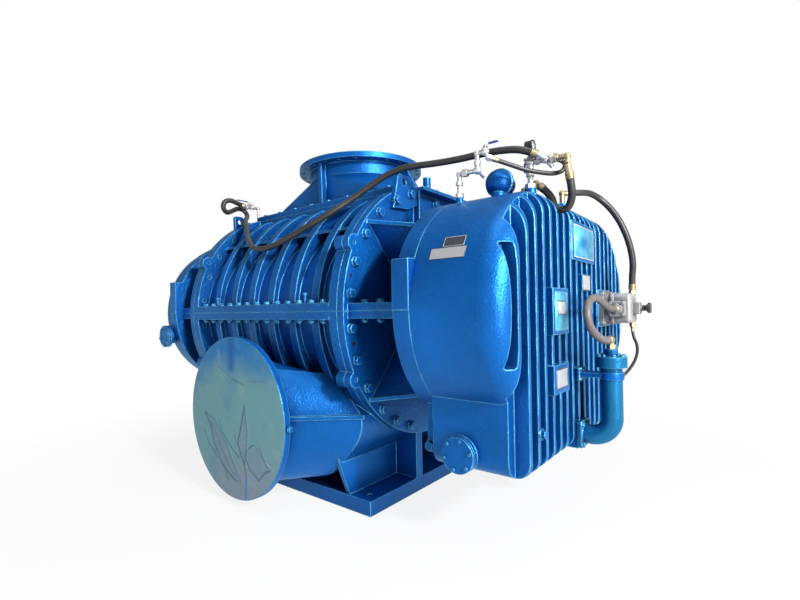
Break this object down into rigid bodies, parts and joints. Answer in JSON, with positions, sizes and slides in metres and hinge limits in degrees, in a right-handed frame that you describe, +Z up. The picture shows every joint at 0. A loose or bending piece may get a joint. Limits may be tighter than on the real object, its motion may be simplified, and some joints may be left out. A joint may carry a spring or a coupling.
{
  "type": "roots blower",
  "caption": "Three-lobe roots blower with ribbed split casing, square-to-round top inlet, round side outlet, finned timing-gear case, filter loop and free oil hoses.",
  "frame": {"origin": "on the floor under the middle of the rotor casing", "axes": "+X towards the timing-gear end along the shafts, -Y towards the outlet, +Z up"},
  "size_m": [3.521, 2.343, 2.393],
  "materials": {
    "blue_enamel": "gloss",
    "cast_iron_bare": "machined",
    "bright_steel": "ground",
    "plated_steel": "zinc plated",
    "brass_fittings": "satin",
    "pump_grey": "satin",
    "grey_rubber": "matt",
    "black_rubber": "matt",
    "lever_blue": "gloss",
    "gauge_black": "satin",
    "clear_glass": "clear",
    "plate_aluminium": "satin",
    "cover_film": "crinkled"
  },
  "bodies": {
    "casing": {"base_frame": "blue_enamel", "casing_lower": "blue_enamel", "casing_upper": "blue_enamel", "split_line_bolts": "blue_enamel", "inlet_hood": "blue_enamel", "inlet_hood_bolts": "blue_enamel", "outlet_duct": "blue_enamel", "gear_cover_lower": "blue_enamel", "gear_cover_upper": "blue_enamel", "drive_cover_lower": "blue_enamel", "drive_cover_upper": "blue_enamel", "end_cover_bolts": "blue_enamel", "lifting_lugs": "blue_enamel", "gear_plate": "blue_enamel", "gear_case": "blue_enamel", "case_bolts": "blue_enamel", "drive_plate": "blue_enamel", "drive_housing": "blue_enamel", "bolted_covers": "blue_enamel", "cover_screws": "blue_enamel", "plain_plugs": "blue_enamel", "breather": "blue_enamel", "filter_vessel": "blue_enamel", "filter_bracket": "blue_enamel", "bearing_outer_races": "bright_steel", "shaft_seals": "brass_fittings", "drive_lip_seal": "black_rubber", "pipe_riser": "plated_steel", "manifold": "plated_steel", "lug_valve_body": "plated_steel", "gauge_body": "gauge_black", "gauge_glass": "clear_glass", "oil_pump": "pump_grey", "hose_fittings": "brass_fittings", "case_plates": "plate_aluminium", "outlet_cover_film": "cover_film", "long_oil_hose": "grey_rubber", "riser_hose": "grey_rubber", "crown_hose": "grey_rubber", "pump_feed_hose": "grey_rubber", "pump_filter_hose": "grey_rubber", "pump_drain_hose": "black_rubber"},
    "drive_rotor_set": {"drive_rotor": "cast_iron_bare", "drive_shaft": "bright_steel", "drive_timing_gear": "bright_steel", "drive_gear_nut": "bright_steel", "drive_oil_slinger": "bright_steel", "drive_inner_rings": "bright_steel"},
    "driven_rotor_set": {"driven_rotor": "cast_iron_bare", "driven_shaft": "bright_steel", "driven_timing_gear": "bright_steel", "driven_gear_nut": "bright_steel", "driven_oil_slinger": "bright_steel", "driven_inner_rings": "bright_steel"},
    "riser_lever": {"riser_valve_lever": "lever_blue"},
    "manifold_lever": {"manifold_valve_lever": "lever_blue"},
    "lug_lever": {"lug_valve_lever": "lever_blue"},
    "needle": {"gauge_needle": "gauge_black"},
    "adjuster_knob": {"pump_adjuster": "plated_steel"}
  },
  "joints": [
    {"name": "drive_rotor_spin", "type": "hinge", "parent": "casing", "child": "drive_rotor_set", "pos_m": [0, -0.405, 1.22], "axis": [1, 0, 0], "continuous": true},
    {"name": "driven_rotor_spin", "type": "hinge", "parent": "casing", "child": "driven_rotor_set", "pos_m": [0, 0.405, 1.22], "axis": [1, 0, 0], "continuous": true},
    {"name": "riser_lever_turn", "type": "hinge", "parent": "casing", "child": "riser_lever", "pos_m": [1.466, -0.65, 2.074], "axis": [0, 0, 1], "range_deg": [-90, 0]},
    {"name": "manifold_lever_turn", "type": "hinge", "parent": "casing", "child": "manifold_lever", "pos_m": [1.594, -0.425, 2.032], "axis": [1, 0, 0], "range_deg": [-90, 0]},
    {"name": "lug_lever_turn", "type": "hinge", "parent": "casing", "child": "lug_lever", "pos_m": [-0.84, -0.494, 2.164], "axis": [0, 0, 1], "range_deg": [-90, 0]},
    {"name": "gauge_needle_turn", "type": "hinge", "parent": "casing", "child": "needle", "pos_m": [1.624, -0.425, 2.098], "axis": [1, 0, 0], "range_deg": [-260, 0], "stiffness_Nm_per_rad": 0.005},
    {"name": "adjuster_turn", "type": "hinge", "parent": "casing", "child": "adjuster_knob", "pos_m": [1.99, 0.45, 1.208], "axis": [1, 0, 0], "range_deg": [-360, 360]}
  ],
  "couplings": [
    {"joint": "driven_rotor_spin", "follows": "drive_rotor_spin", "ratio": -1}
  ]
}
